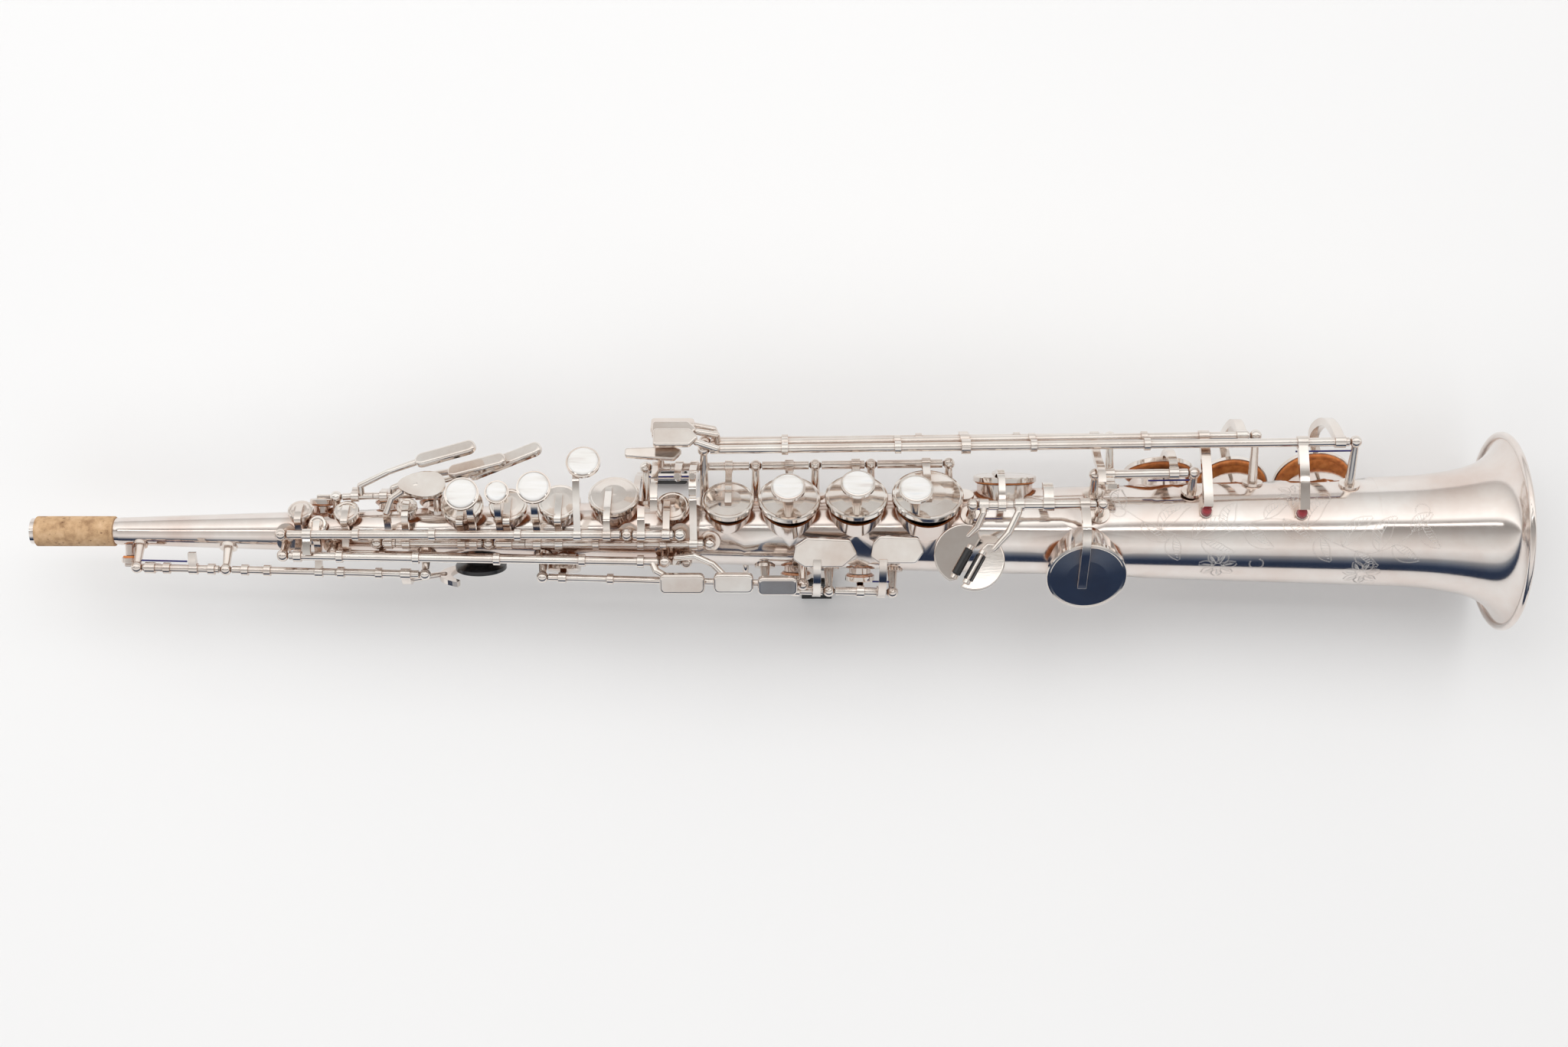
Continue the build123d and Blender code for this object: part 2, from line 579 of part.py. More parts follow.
# ---------------------------------------------------------------- low keys of the right hand
def roller(name, a, b, height):
    """A barrel roller on its pin; the lugs and pin belong to the key that carries it."""
    a, b = Vector(*a, height), Vector(*b, height)
    along = (b - a).normalized()
    start, end = a + along * 1.8, b - along * 1.8
    tube = rod(start, end, 1.95) - rod(a, b, 0.8 + ROD_GAP)
    ends = [e for e in tube.edges() if e.geom_type == GeomType.CIRCLE and abs(e.radius - 1.95) < 0.01]
    put(name, [fillet(ends, 0.6)])
    JOINTS[name] = (HOME * Pos(*a)).position, along
    lugs = [rod(a - along * 0.2, a + along * 1.6, 1.7), rod(b - along * 1.6, b + along * 0.2, 1.7)]
    return rod(start - along * 0.1, end + along * 0.1, 2.3), [rod(a, b, 0.8)] + lugs


def make_low_right_keys():
    level = 27.4
    key = Key("eb_key", "right_low", (425.5, 440.2))
    key.cup("eb", -1, x=435.4, rise=2.0)
    key.limb([(427.4, *key.at(427.4)), (427.0, 8.0, 30.2), (424.4, 2.0, level + 1.4), (420.6, -2.0, level + 0.4)],
             [1.7, 1.5, 1.5, 1.2])
    key.add(key.rack.boss(427.4, 4.0))
    slot, pin = roller("eb_roller", (422.0, -6.4), (414.2, -20.4), level + 0.6)
    touch = lobe(Plane(origin=(0, 0, level - 0.8)), (424.6, 2.2), (405.5, -11.0), (412.4, -22.0),
                 [(414.9, -21.4), (425.8, -3.6)], 2.0, 0.7)
    key.add(touch - slot, *pin)
    key.finish()

    key = Key("c_key", "right_low", (440.5, 476.4), -8.5)
    key.cup("c", 1, x=471.6, width=3.8)
    key.limb([(443.0, *key.at(443.0)), (442.4, 8.0, 30.2), (438.0, -1.0, level + 1.8), (431.6, -8.0, level + 0.4)],
             [1.8, 1.6, 1.6, 1.3])
    key.add(key.rack.boss(443.0, 4.0))
    slot, pin = roller("c_roller", (427.0, -9.0), (419.2, -23.0), level + 0.6)
    touch = lobe(Plane(origin=(0, 0, level - 0.8)), (434.2, -5.6), (434.0, -20.6), (416.6, -24.8),
                 [(418.4, -22.6), (426.4, -7.4), (428.8, -5.2)], 2.0, 0.7)
    key.add(touch - slot, *pin)
    key.arm(455.8, [(19.5, 27.2), (21.0, 23.0)], [1.6, 1.3, 1.6], 4.4)
    key.finish()


# ---------------------------------------------------------------- bell keys
def make_c_sharp():
    key = Key("cs_key", "cs", (480.6, 518.6), 7.0)
    hole = HOLES["cs"]
    key.arm(512.5, [(32.4, 12.0), (33.6, 3.0), hole.across(-9.0, CUP_H + 0.9), hole.across(0.0, CUP_H + 0.6),
                    hole.across(6.0, CUP_H + 0.3)], [1.8, 1.5, 1.5, 1.4, 1.2, 0.6], 3.8)
    key.add(hole.cup())
    key.pads.append(hole.pad())
    key.arm(484.0, [(20.0, 24.6), (21.0, 28.4)], [1.7, 1.4, 1.2], 4.0)
    key.finish()

    key = Key("cs_lever", "bell_c", (307.0, 483.0))
    key.arm(479.0, [(36.0, 11.5), (31.0, 19.0), (28.0, 26.0), (21.0, 31.6)], [1.6, 1.4, 1.3, 1.3, 1.0], 3.4)
    key.limb([(310.0, *key.at(310.0)), (308.0, 45.6, 9.0), (298.0, 47.5, 10.0)], [1.6, 1.6, 1.5])
    key.add(plate(facing(Vector(291.0, 46.6, 9.4), 58),
                  [(-11, -5.5), (8, -5.5), (9, 0), (8, 5), (-11, 5)], 2.2, 1.6))
    for x in (340.0, 400.0, 444.0):
        key.add(key.rack.boss(x, 2.8))
    key.finish()


def make_bell_keys():
    rows = [("low_bb", "bell_a", (307.0, 589.0), 585.0, 568.4, (9.5, 27.4),
             [(45.5, 8.0), (45.0, -9.0), (36.0, -24.0)], [(309.5, 37.0, 25.0), (301.0, 40.0, 27.0)], (289.0, 41.5, 26.6), 40),
            ("low_b", "bell_b", (307.0, 546.6), 543.4, 526.5, (10.6, 25.6),
             [(47.0, 4.0), (44.0, -10.0), (34.0, -23.0)], [(309.5, 43.2, 17.0), (301.0, 44.8, 19.0)], (288.0, 45.0, 18.4), 48)]
    for name, rack, span, arm_x, foot_x, foot, bend, path, seat, clock in rows:
        key = Key(name + "_key", rack, span, 8.0)
        hole = HOLES[name]
        r = hole.cup_r
        tail = [hole.across(-r * 0.75, CUP_H + 1.4), hole.across(-r * 0.3, CUP_H + 0.8), hole.across(r * 0.35, CUP_H + 0.4)]
        key.arm(arm_x, bend + tail, [2.0, 1.8, 1.8, 1.7, 1.5, 1.3, 0.6], 4.2)
        key.add(hole.cup())
        key.pads.append(hole.pad())
        lift = -8.0
        y0, z0 = key.at(foot_x)
        y1, z1 = foot[0] - y0, foot[1] - z0
        c, s = cos(radians(lift)), sin(radians(lift))
        end = (y0 + y1 * c - z1 * s, z0 + y1 * s + z1 * c)
        y2, z2 = (foot[0] + y0) / 2 - y0, (foot[1] + z0) / 2 + 2.0 - z0
        mid = (y0 + y2 * c - z2 * s, z0 + y2 * s + z2 * c)
        key.arm(foot_x, [mid, end], [1.8, 1.4, 1.6], 4.2)
        key.limb([(308.5 + 1.5, *key.at(310.0))] + path, [1.6, 1.6, 1.5])
        key.add(plate(facing(Vector(*seat), clock), [(-7, -4.5), (9, -4.5), (13, 0), (9, 4.5), (-7, 4.5)], 2.2, 1.6))
        for x in (340.0, 390.0, 450.0, 500.0):
            key.add(key.rack.boss(x, 2.8))
        key.finish()


# ---------------------------------------------------------------- fixed parts
def make_guide(x, racks):
    """Open rings on one stem, which steady the long bell tubes halfway."""
    at = [RACKS[n].at(x) for n in racks]
    clock = clock_of(at[0])
    half = Vector(2, 0, 0)
    bores = [rod(RACKS[n].at(x - 9), RACKS[n].at(x + 9), TUBE_R + 0.1) for n in racks]
    rings = [rod(p - half, p + half, TUBE_R + 1.4) - bore for p, bore in zip(at, bores)]
    foot = polar(x, clock, body_r(x) - 0.6)
    stem = cone(foot, at[0], POST_FOOT_R, POST_TOP_R) - bores[0]
    links = [(rod(a, b, 1.4) - bores[i]) - bores[i + 1] for i, (a, b) in enumerate(zip(at, at[1:]))]
    return fuse([max(stem.solids(), key=lambda s: s.volume), post_foot(x, clock)] + rings + links) - SOLID_TUBE


def make_posts():
    posts, steels = [], []
    comb_at, bell_racks = 304.0, ("bell_a", "bell_b", "bell_c")
    for name, rack in RACKS.items():
        steels += rack.steel()
        posts += [rack.post(x) for x in rack.posts if x != comb_at]
    heads = [RACKS[n].at(comb_at) for n in bell_racks]
    comb = [ball(h, BALL_R) for h in heads] + [rod(a, b, 1.5) for a, b in zip(heads, heads[1:])]
    posts.append(fuse([RACKS["bell_a"].post(comb_at)] + comb))
    posts.append(make_guide(420.0, bell_racks))
    put("posts", [s for p in posts for s in p.solids()])
    put("hinge_rods", steels)


def make_fixed():
    put("body_tube", [make_body_tube()])
    put("bell", [make_bell()])
    cork = rod((CORK_START, 0, 0), (CORK_END, 0, 0), CORK_R) - rod((-1, 0, 0), (50, 0, 0), TIP_R)
    put("neck_cork", [fillet(cork.edges().filter_by(GeomType.CIRCLE).group_by(SortBy.RADIUS)[-1], 0.5)])
    seat = polar(202.0, -108, body_r(202.0) - 0.4)
    cupped = spun([(0, 0), (7.0, 0), (6.4, 3.2), (11.5, 4.8), (11.5, 6.6), (8.6, 6.6), (8.6, 5.4), (0, 5.4)],
                  facing(seat, -108))
    put("thumb_rest", [cupped - SOLID_TUBE])
    put("thumb_rest_pad", [spun([(0, 5.4), (8.5, 5.4), (8.5, 6.8), (6.0, 7.6), (0, 7.9)], facing(seat, -108))])
    make_hook()
    ring_at = polar(322.0, 218, body_r(322.0) + 7.4)
    eye = Plane(origin=ring_at, z_dir=(1, 0, 0)) * Torus(4.6, 1.3)
    base = rod(polar(322.0, 218, body_r(322.0) - 0.6), polar(322.0, 218, body_r(322.0) + 3.6), 2.4)
    pad = rod(polar(322.0, 218, 0), polar(322.0, 218, body_r(322.0) + 9), 6.0) & FLANGE_SHELL
    put("strap_ring", [fuse([eye, base, pad]) - SOLID_TUBE])
    make_guard()


def make_hook():
    x = 355.0
    plate_on = rod(polar(x, 217, 0), polar(x, 217, 30), 11.0) & FLANGE_SHELL
    r0 = body_r(x)
    stem = blade(x, 11.0, [yz(217, r0 + 0.2), yz(216, r0 + 12), yz(214, r0 + 24), yz(214, r0 + 33.2)],
                 [3.0, 2.0, 1.8, 1.6])
    put("thumb_hook", list(fuse([plate_on, stem]).cut(SOLID_TUBE, *rims_near(x)).solids()))
    tip = yz(214, r0 + 33.4)
    cover = blade(x, 14.0, [yz(214, r0 + 22.5), tip], [3.4, 3.4]) - blade(x, 11.2, [yz(216, r0 + 12), yz(214, r0 + 24),
                                                                            yz(214, r0 + 33.3)], [2.1, 1.95, 1.75])
    foot = Pos(x, -26.0, -43.7) * Box(14.0, 12.0, 2.6)
    cover = fuse([cover, foot - stem])
    put("thumb_hook_pad", list(cover.solids()))


def yz(clock, r):
    return (r * sin(radians(clock)), r * cos(radians(clock)))


def make_guard():
    """Guard under the little-finger table, on two feet; its rubber foot is where the left side rests."""
    bars = []
    for x in (272.0, 298.0):
        r0 = body_r(x)
        bars.append(blade(x, 3.0, [yz(122, r0 - 0.4), yz(132, r0 + 14), yz(143, r0 + 28), yz(149, r0 + 35)],
                          [2.6, 1.8, 1.6, 1.6]))
        bars.append(rod(polar(x, 122, 0), polar(x, 122, 30), 5.0) & FLANGE_SHELL)
    a, b = Vector(270.5, *yz(149, 49.2)), Vector(299.5, *yz(149, 49.2))
    rail = rod(a, b, 2.2)
    put("table_guard", [fuse(bars + [rail]) - SOLID_TUBE])
    foot = Pos(285.0, a.Y, -43.0) * Box(18.0, 6.4, 4.0)
    foot = fillet(foot.edges().filter_by(Axis.Z), 1.5) - rod(a, b, 2.2)
    put("guard_foot", list(foot.solids()))


def make_springs():
    rows = [("octave", 49.5, 22.0, 3.6), ("cs", 521.5, -20.0, 3.8), ("right_low", 422.6, 14.0, 4.6),
            ("bell_a", 592.0, -26.0, 4.6), ("lower_stack", 277.5, 20.0, 4.4), ("front", 270.2, -18.0, 4.6),
            ("lower_side", 388.4, -9.0, 4.6), ("upper_stack", 208.0, 12.0, 3.4)]
    wires = []
    for name, x, run, drop in rows:
        rack = RACKS[name]
        head = rack.at(x)
        clock = clock_of(head)
        r = hypot(head.Y, head.Z) - drop
        a = polar(x, clock, r)
        wires.append(rod(a, a + rack.dir * run, 0.4))
    put("needle_springs", wires)


def export(name, solids):
    whole = Compound(children=list(solids)) if len(solids) > 1 else solids[0]
    export_step(whole, os.path.join("parts", name + ".step"))


make_fixed()
make_posts()
make_springs()
make_octave_keys()
make_palm_keys()
make_upper_stack()
make_g_sharp()
make_lower_stack()
make_side_keys()
make_low_right_keys()
make_c_sharp()
make_bell_keys()
for node_name, node_solids in NODES.items():
    export(node_name, node_solids)
print(len(NODES), "nodes", sum(len(s) for s in NODES.values()), "solids")
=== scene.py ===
import json
import math
import bmesh
import bpy
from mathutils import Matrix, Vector
from mathutils.bvhtree import BVHTree


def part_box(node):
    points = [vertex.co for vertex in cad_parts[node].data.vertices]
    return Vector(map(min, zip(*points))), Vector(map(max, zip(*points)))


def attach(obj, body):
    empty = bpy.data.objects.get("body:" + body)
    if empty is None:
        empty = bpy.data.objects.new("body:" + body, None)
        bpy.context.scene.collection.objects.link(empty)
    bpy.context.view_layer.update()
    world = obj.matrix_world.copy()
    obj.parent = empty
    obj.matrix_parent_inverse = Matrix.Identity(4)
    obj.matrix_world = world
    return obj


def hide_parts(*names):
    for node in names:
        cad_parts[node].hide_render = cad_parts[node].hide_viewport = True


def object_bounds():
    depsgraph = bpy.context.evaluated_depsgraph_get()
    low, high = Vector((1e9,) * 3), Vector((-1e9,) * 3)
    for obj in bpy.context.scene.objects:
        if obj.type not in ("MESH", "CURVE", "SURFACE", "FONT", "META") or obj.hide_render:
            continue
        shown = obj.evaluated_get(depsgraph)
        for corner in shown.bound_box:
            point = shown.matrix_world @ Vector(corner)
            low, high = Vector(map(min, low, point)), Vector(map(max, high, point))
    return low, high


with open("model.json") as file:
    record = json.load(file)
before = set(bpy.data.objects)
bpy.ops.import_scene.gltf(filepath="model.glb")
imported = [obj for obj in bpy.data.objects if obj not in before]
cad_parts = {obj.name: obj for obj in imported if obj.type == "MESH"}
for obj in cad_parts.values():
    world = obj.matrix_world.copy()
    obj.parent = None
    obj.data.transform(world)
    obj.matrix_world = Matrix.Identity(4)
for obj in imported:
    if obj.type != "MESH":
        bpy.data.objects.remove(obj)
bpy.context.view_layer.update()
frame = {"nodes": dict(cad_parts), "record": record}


# ---- Body tube, bell, posts and key work
# Drawn brass tube and cast or stamped brass keys, all silver plated and polished by hand. The plating
# has toned a little: warm in the corners the cloth can't reach, with fine wiping scratches elsewhere.

class Value:
    """What varies over a surface. Sums of values add the nodes that work them out."""

    def __init__(self, owner, socket):
        self.owner, self.socket = owner, socket

    def math(self, operation, other, first=True):
        pair = (self, other) if first else (other, self)
        return self.owner.add("ShaderNodeMath", {"operation": operation}, {0: pair[0], 1: pair[1]})

    def __add__(self, other):
        return self.math("ADD", other)

    def __sub__(self, other):
        return self.math("SUBTRACT", other)

    def __rsub__(self, other):
        return self.math("SUBTRACT", other, False)

    def __mul__(self, other):
        return self.math("MULTIPLY", other)

    def __pow__(self, other):
        return self.math("POWER", other)

    def above(self, level):
        return self.math("GREATER_THAN", level)

    def clamped(self):
        return self.owner.add("ShaderNodeClamp", {}, {"Value": self, "Min": 0.0, "Max": 1.0})

    __radd__ = __add__
    __rmul__ = __mul__


class Nodes:
    """The nodes of one finish or light, each made by one call of add."""

    def __init__(self, tree):
        self.tree = tree
        tree.nodes.clear()

    def add(self, kind, settings, sockets, out=0):
        node = self.tree.nodes.new(kind)
        for key, setting in settings.items():
            if key == "stops":
                ramp = node.color_ramp
                while len(ramp.elements) < len(setting):
                    ramp.elements.new(0.5)
                for element, (at, colour) in zip(ramp.elements, setting):
                    element.position, element.color = at, (*colour, 1.0)
            else:
                setattr(node, key, setting)
        for key, value in sockets.items():
            if isinstance(value, Value):
                self.tree.links.new(value.socket, node.inputs[key])
            elif isinstance(value, tuple) and node.inputs[key].type == "RGBA":
                node.inputs[key].default_value = (*value, 1.0)
            else:
                node.inputs[key].default_value = value
        return Value(self, node.outputs[out]) if node.outputs else node

    def ramp(self, value, stops):
        return self.add("ShaderNodeValToRGB", {"stops": stops}, {"Fac": value}, "Color")


class Finish(Nodes):
    """A procedural finish: one Principled shader, whose varying inputs are Values."""

    def __init__(self, name):
        self.material = bpy.data.materials.new(name)
        self.material.use_nodes = True
        super().__init__(self.material.node_tree)
        self.place = self.add("ShaderNodeTexCoord", {}, {}, "Object")

    def stretched(self, x, y, z):
        return self.add("ShaderNodeMapping", {}, {"Vector": self.place, "Scale": (x, y, z)})

    def noise(self, scale, detail=3.0, rough=0.5, at=None):
        sockets = {"Vector": at or self.place, "Scale": scale, "Detail": detail, "Roughness": rough}
        return self.add("ShaderNodeTexNoise", {}, sockets, "Fac")

    def corners(self, reach):
        """1 deep in a corner, 0 in the open."""
        open_sky = self.add("ShaderNodeAmbientOcclusion", {"samples": 4}, {"Distance": reach}, "AO")
        return 1 - open_sky

    def blend(self, mask, first, second):
        return self.add("ShaderNodeMix", {"data_type": "RGBA"}, {0: mask, 6: first, 7: second}, 2)

    def bump(self, height, strength, depth, eased=0.0):
        """A bumped normal, over edges that are eased by a radius."""
        sockets = {"Height": height, "Strength": strength, "Distance": depth}
        if eased:
            sockets["Normal"] = self.add("ShaderNodeBevel", {"samples": 4}, {"Radius": eased}, "Normal")
        return self.add("ShaderNodeBump", {}, sockets, "Normal")

    def done(self, **inputs):
        named = {key.replace("_", " "): value for key, value in inputs.items()}
        surface = self.add("ShaderNodeBsdfPrincipled", {}, named, "BSDF")
        self.add("ShaderNodeOutputMaterial", {}, {"Surface": surface})
        return self.material


def silver_finish(name, bright, toned, tone, gloss, eased=0.0):
    f = Finish(name)
    cloud = f.noise(34.0, 4.0, 0.6)
    corner = f.corners(0.006)
    mask = (tone * (cloud * 1.7 - 0.55).clamped() + corner ** 1.4 * 0.95).clamped()
    wiping = f.noise(260.0, 5.0, 0.7, f.stretched(1.0, 5.0, 5.0))
    grain = f.noise(1400.0, 2.0, 0.5, f.stretched(0.25, 1.0, 1.0))
    rough = gloss + wiping * 0.07 + corner * 0.16
    return f.done(Base_Color=f.blend(mask, bright, toned), Metallic=1.0, Roughness=rough.clamped(),
                  Normal=f.bump(grain, 0.05, 0.00004, eased))


tube_silver = silver_finish("toned silver tube", (0.86, 0.82, 0.785), (0.62, 0.42, 0.33), 0.65, 0.075)
key_silver = silver_finish("silver key work", (0.90, 0.865, 0.82), (0.48, 0.28, 0.18), 0.55, 0.05, 0.00022)
nodes = frame["nodes"]


def finish_node(name, material):
    slots = nodes[name].data.materials
    slots.clear()
    slots.append(material)


for name in nodes:
    finish_node(name, tube_silver if name in ("body_tube", "bell") else key_silver)


# ---- Hinge rods and needle springs
# Ground steel rods run inside the key tubes. The springs are hardened steel wire, heated to blue.

def steel_finish(name, colour, heated, gloss):
    f = Finish(name)
    drawn = f.noise(900.0, 3.0, 0.6, f.stretched(0.1, 1.0, 1.0))
    return f.done(Base_Color=f.blend(f.noise(120.0, 2.0), colour, heated), Metallic=1.0,
                  Roughness=gloss + drawn * 0.2, Normal=f.bump(drawn, 0.1, 0.00004))


ground_steel = steel_finish("ground steel", (0.62, 0.60, 0.57), (0.42, 0.38, 0.34), 0.18)
blued_steel = steel_finish("blued spring steel", (0.03, 0.08, 0.26), (0.10, 0.05, 0.20), 0.22)
finish_node("hinge_rods", ground_steel)
finish_node("needle_springs", blued_steel)


# ---- Mouthpiece cork
# A sheet of natural cork, glued round the neck and sanded true. Darker pores are scattered over it.

def cork_finish():
    f = Finish("natural cork")
    blotch = f.noise(170.0, 6.0, 0.65)
    cells = {"Vector": f.stretched(1.0, 1.6, 1.6), "Scale": 420.0}
    pores = f.add("ShaderNodeTexVoronoi", {"feature": "F1"}, cells, "Distance")
    pit = (1 - (pores * 3.2).clamped()) * f.noise(240.0, 2.0).above(0.52)
    grain = f.ramp(blotch, [(0.30, (0.30, 0.17, 0.085)), (0.50, (0.56, 0.36, 0.20)),
                            (0.72, (0.72, 0.50, 0.31))])
    colour = f.blend(pit.clamped(), grain, (0.13, 0.06, 0.03))
    return f.done(Base_Color=colour, Roughness=0.78 + blotch * 0.15,
                  Normal=f.bump(blotch * 0.5 - pit, 0.7, 0.0004))


finish_node("neck_cork", cork_finish())


# ---- Pads
# Felt on a card disc, wrapped in tan leather and glued into the cup, with a domed metal resonator riveted
# through the middle. The leather is drawn tight and rounds over the edge, and the tone hole presses a ring.

MM = 0.001
PAD_THICK = 2.3 * MM
PAD_EDGE = 0.5 * MM  # from the flat face out to the edge of the leather
PAD_ROUND = 0.9 * MM  # radius of the rounded edge on a large pad
SMALL_PAD_GROW = 0.12 * MM
RING_INSET = 2.6 * MM  # from the pad's edge in to the pressed ring
RING_DEPTH = 0.18 * MM
RESONATOR_SHARE = 0.52


def leather_finish():
    f = Finish("tan pad leather")
    patch = f.noise(260.0, 4.0, 0.6)
    pebble = f.add("ShaderNodeTexVoronoi", {"feature": "F1"}, {"Scale": 1900.0}, "Distance")
    colour = f.ramp(patch, [(0.28, (0.42, 0.105, 0.02)), (0.52, (0.72, 0.23, 0.055)),
                            (0.75, (0.84, 0.34, 0.11))])
    # Painted shade: the leather is darkened towards near black in its corners and recesses.
    corner_shaded_leather = f.blend(f.corners(0.0015) * 0.6, colour, (0.10, 0.03, 0.01))
    return f.done(Base_Color=corner_shaded_leather, Roughness=0.42 + patch * 0.2, Coat_Weight=0.15, Coat_Roughness=0.3,
                  Normal=f.bump(pebble, 0.35, 0.00012))


def round_faces(node, smallest, largest, ring=0.0):
    """Middle, unit normal and outer radius of each flat round face of a CAD node between two radii, or of
    each flat ring of that width. The one nearest to the bore comes first."""
    mesh = bmesh.new()
    mesh.from_mesh(node.data)
    left, found = set(mesh.verts), []
    for first in mesh.verts:
        if first not in left:
            continue
        left.remove(first)
        shell = [first]
        for vert in shell:
            for edge in vert.link_edges:
                other = edge.other_vert(vert)
                if other in left:
                    left.remove(other)
                    shell.append(other)
        normal = first.link_faces[0].normal if first.link_faces else Vector()
        rim = [v.co for v in shell if v.is_boundary]
        if len(rim) < 12 or normal.length < 0.5:
            continue
        middle = (Vector(map(max, zip(*rim))) + Vector(map(min, zip(*rim)))) / 2
        reach = [(p - middle).length for p in rim]
        outer = max(reach)
        round_rim = all(outer - r < 0.1 * MM or abs(outer - r - ring) < 0.1 * MM for r in reach)
        holed = outer - min(reach) > 0.3 * MM
        flat = max(abs((p - middle).dot(normal)) for p in rim) < 0.02 * MM
        if flat and round_rim and holed == (ring > 0) and smallest < outer < largest:
            found.append((middle, normal.copy(), outer))
    mesh.free()
    return sorted(found, key=lambda face: face[0].yz.length)


def pad_faces(node):
    """The flat faces of a key's pads, with the axis pointing away from the bore."""
    return [(middle, -normal, r) for middle, normal, r in round_faces(node, 2.4 * MM, 20 * MM)
            if normal.yz.dot(middle.yz) < 0]


def turned(name, profile, middle, axis, material, body, steps=48):
    """A piece turned round its axis from (radius, height) pairs, which start and end on the axis."""
    turn = axis.to_track_quat("Z", "Y").to_matrix()
    mesh = bmesh.new()
    rings = []
    for radius, height in profile:
        angles = [math.tau * k / steps for k in range(steps)] if radius else [0.0]
        spots = [Vector((radius * math.cos(a), radius * math.sin(a), height)) for a in angles]
        rings.append([mesh.verts.new(middle + turn @ spot) for spot in spots])
    for low, high in zip(rings, rings[1:]):
        for k in range(steps):
            corners = [low[k % len(low)], low[(k + 1) % len(low)],
                       high[(k + 1) % len(high)], high[k % len(high)]]
            mesh.faces.new(dict.fromkeys(corners))
    bmesh.ops.recalc_face_normals(mesh, faces=mesh.faces)
    data = bpy.data.meshes.new(name)
    mesh.to_mesh(data)
    mesh.free()
    data.polygons.foreach_set("use_smooth", [True] * len(data.polygons))
    data.materials.append(material)
    piece = bpy.data.objects.new(name, data)
    bpy.context.scene.collection.objects.link(piece)
    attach(piece, body)
    return piece


pad_leather = leather_finish()
resonator_metal = silver_finish("resonator", (0.90, 0.84, 0.74), (0.55, 0.38, 0.24), 0.5, 0.14)


def leather_pad(name, face, body, grow=0.0):
    middle, axis, flat = face
    r, half = flat + PAD_EDGE + grow, PAD_THICK / 2
    soft = min(PAD_ROUND, r * 0.18)
    press = r - RING_INSET if r > 5 * MM else r * 0.62
    middle = middle + axis * half
    profile = [(0, half), (r - soft, half)]
    for k in range(1, 12):
        angle = math.pi * k / 12
        profile.append((r - soft + soft * math.sin(angle), half * math.cos(angle)))
    profile += [(r - soft, -half), (press + 0.7 * MM, -half), (press + 0.2 * MM, RING_DEPTH - half),
                (press - 0.2 * MM, RING_DEPTH - half), (press - 0.7 * MM, -half), (0, 0.05 * MM - half)]
    pad = turned(name, profile, middle, axis, pad_leather, body)
    metal = r * RESONATOR_SHARE
    dome = [(0, 0.2 * MM), (metal, 0.1 * MM), (metal, -0.08 * MM), (metal * 0.92, -0.15 * MM),
            (metal * 0.6, -0.09 * MM), (metal * 0.30, -0.11 * MM), (metal * 0.24, -0.20 * MM),
            (0, -0.22 * MM)]
    turned(name + "_resonator", dome, middle - axis * half, axis, resonator_metal, body, 36)
    return pad


bodies = frame["record"]["behaviour"]["bodies"]
body_of_node = {node: body for body, members in bodies.items() for node in members}
SMALL_PADS = ["neck_octave_key", "body_octave_key", "palm_f", "palm_eb", "palm_d", "high_e_key", "side_c_key",
              "alt_fs_key", "trill_key"]
for name in sorted(nodes):
    if name.endswith("_key_pad"):
        finish_node(name, pad_leather)
        made = [leather_pad(f"{name}_leather_{k}", face, body_of_node[name])
                for k, face in enumerate(pad_faces(nodes[name]))]
        for pad in made:
            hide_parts(name)
    elif name in SMALL_PADS:
        leather_pad(f"{name}_small_pad", pad_faces(nodes[name])[0], body_of_node[name], SMALL_PAD_GROW)


# ---- Pearls
# Discs of mother-of-pearl, dished for the fingertip, pressed into a metal ring on each finger key.

PEARL_INSET = 0.95 * MM  # from the ring's outside in to the pearl's edge
RING_WIDTH = 0.6 * MM


def pearl_finish():
    f = Finish("mother of pearl")
    wave = f.noise(60.0, 3.0, 0.6, f.stretched(0.6, 4.0, 4.0))
    band = f.noise(220.0, 2.0, 0.5, f.stretched(0.25, 2.0, 2.0))
    colour = f.ramp(wave * 0.6 + band * 0.4, [(0.30, (0.60, 0.55, 0.52)), (0.45, (0.74, 0.725, 0.70)),
                                               (0.58, (0.78, 0.77, 0.76)), (0.72, (0.66, 0.69, 0.70))])
    return f.done(Base_Color=colour, Roughness=0.16 + band * 0.10, Coat_Weight=0.6, Coat_Roughness=0.05,
                  Normal=f.bump(band, 0.04, 0.0001))


mother_of_pearl = pearl_finish()
for name in ["b_key", "bis_key", "a_key", "g_key", "f_key", "e_key", "d_key"]:
    rings = [face for face in round_faces(nodes[name], 5.0 * MM, 8.2 * MM, RING_WIDTH)
             if face[1].yz.dot(face[0].yz) > 0]
    middle, axis, r = rings[-1]
    r -= PEARL_INSET
    dish = [(0, -0.4 * MM), (r, -0.4 * MM), (r, 0.30 * MM), (r * 0.97, 0.62 * MM), (r * 0.90, 0.84 * MM),
            (r * 0.80, 0.95 * MM), (r * 0.66, 0.90 * MM), (r * 0.48, 0.78 * MM), (r * 0.25, 0.68 * MM),
            (0, 0.65 * MM)]
    turned(name + "_pearl", dish, middle, axis, mother_of_pearl, name)


# ---- Rubber and resin: thumb rest, thumb hook cushion, rollers, guard foot
# Moulded black rubber where the instrument bears on a hand or a table, and turned, polished resin elsewhere.

def moulded_finish(name, colour, haze, gloss, pit):
    f = Finish(name)
    dust = f.noise(300.0, 4.0, 0.6)
    skin = f.noise(2600.0, 2.0)
    return f.done(Base_Color=f.blend(dust * haze, colour, (0.35, 0.34, 0.33)), Roughness=gloss + dust * 0.15,
                  Normal=f.bump(skin, pit, 0.00008))


